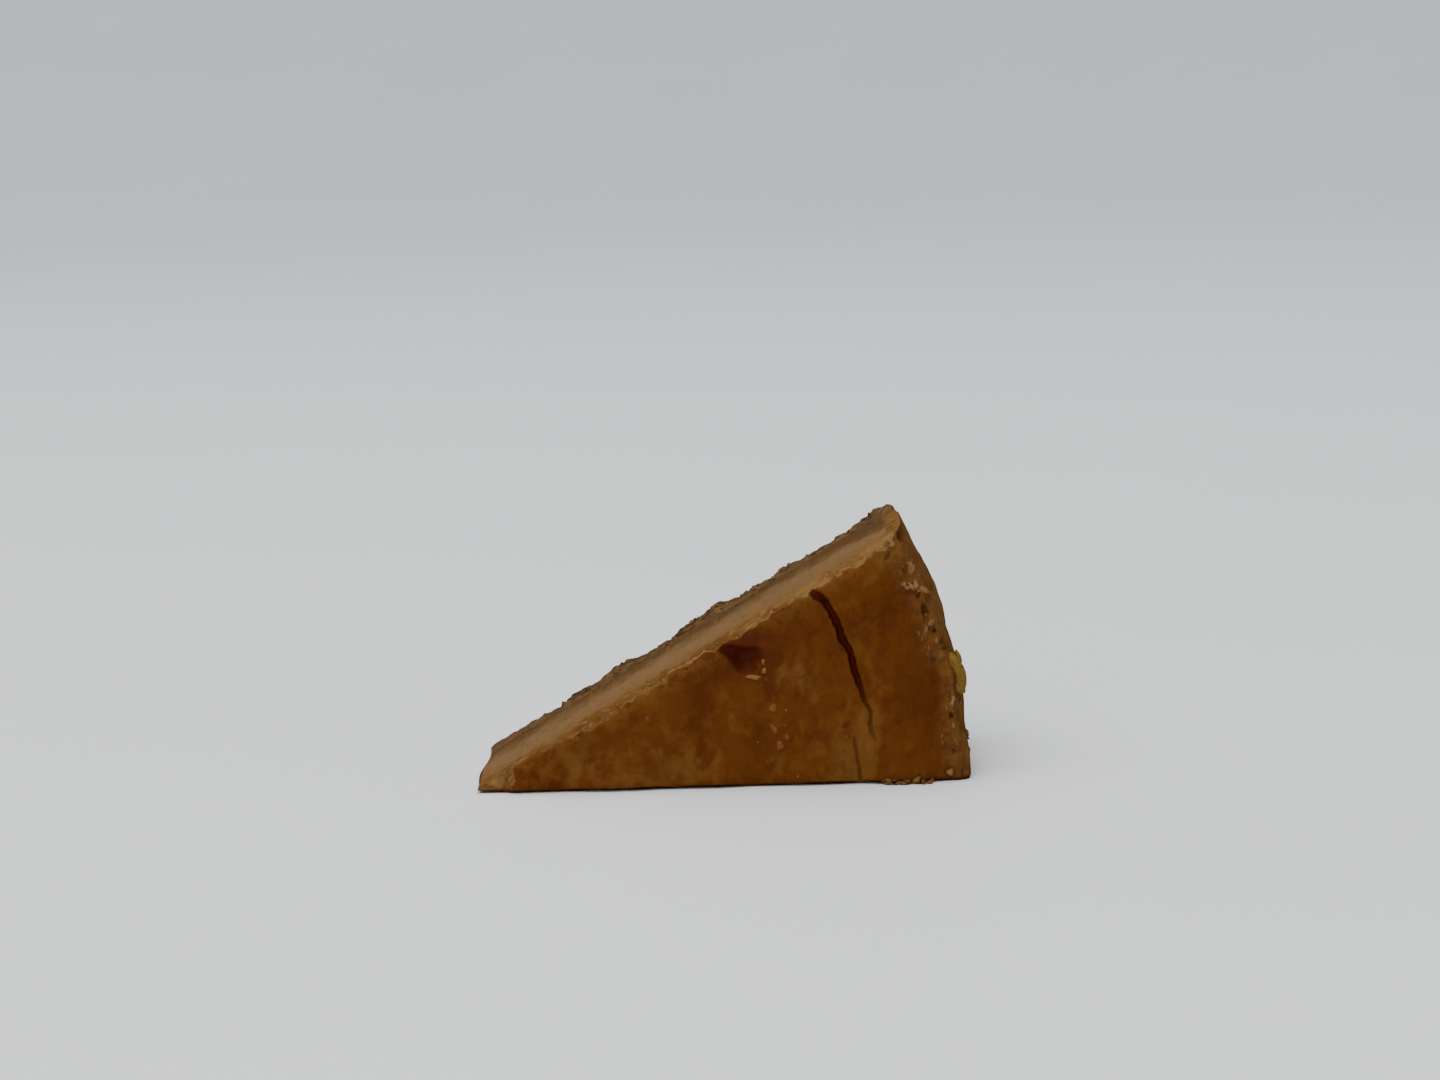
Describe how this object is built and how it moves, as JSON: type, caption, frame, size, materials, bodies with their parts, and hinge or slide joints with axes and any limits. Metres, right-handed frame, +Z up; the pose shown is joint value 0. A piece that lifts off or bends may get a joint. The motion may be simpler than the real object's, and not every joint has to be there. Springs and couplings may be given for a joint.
{
  "type": "date cheesecake slice",
  "caption": "Slice of baked date cheesecake lying on a cut side: browned top with a curved crack, pale filling, dark date and biscuit base.",
  "frame": {"origin": "on the surface it lies on, at the centre of the slice's bounding box", "axes": "+X from the slice's tip to its outer rim, +Y from the browned top of the cake to its base, +Z up"},
  "size_m": [0.1143, 0.0494, 0.0581],
  "materials": {
    "browned_cheese": "baked cheesecake: moist browned skin with a soft sheen, pale crumbly filling where it is cut",
    "date_biscuit": "dull, coarse pressed crumbs of biscuit and date"
  },
  "bodies": {
    "root": {"cheese_filling": "browned_cheese", "date_biscuit_base": "date_biscuit"}
  },
  "joints": []
}
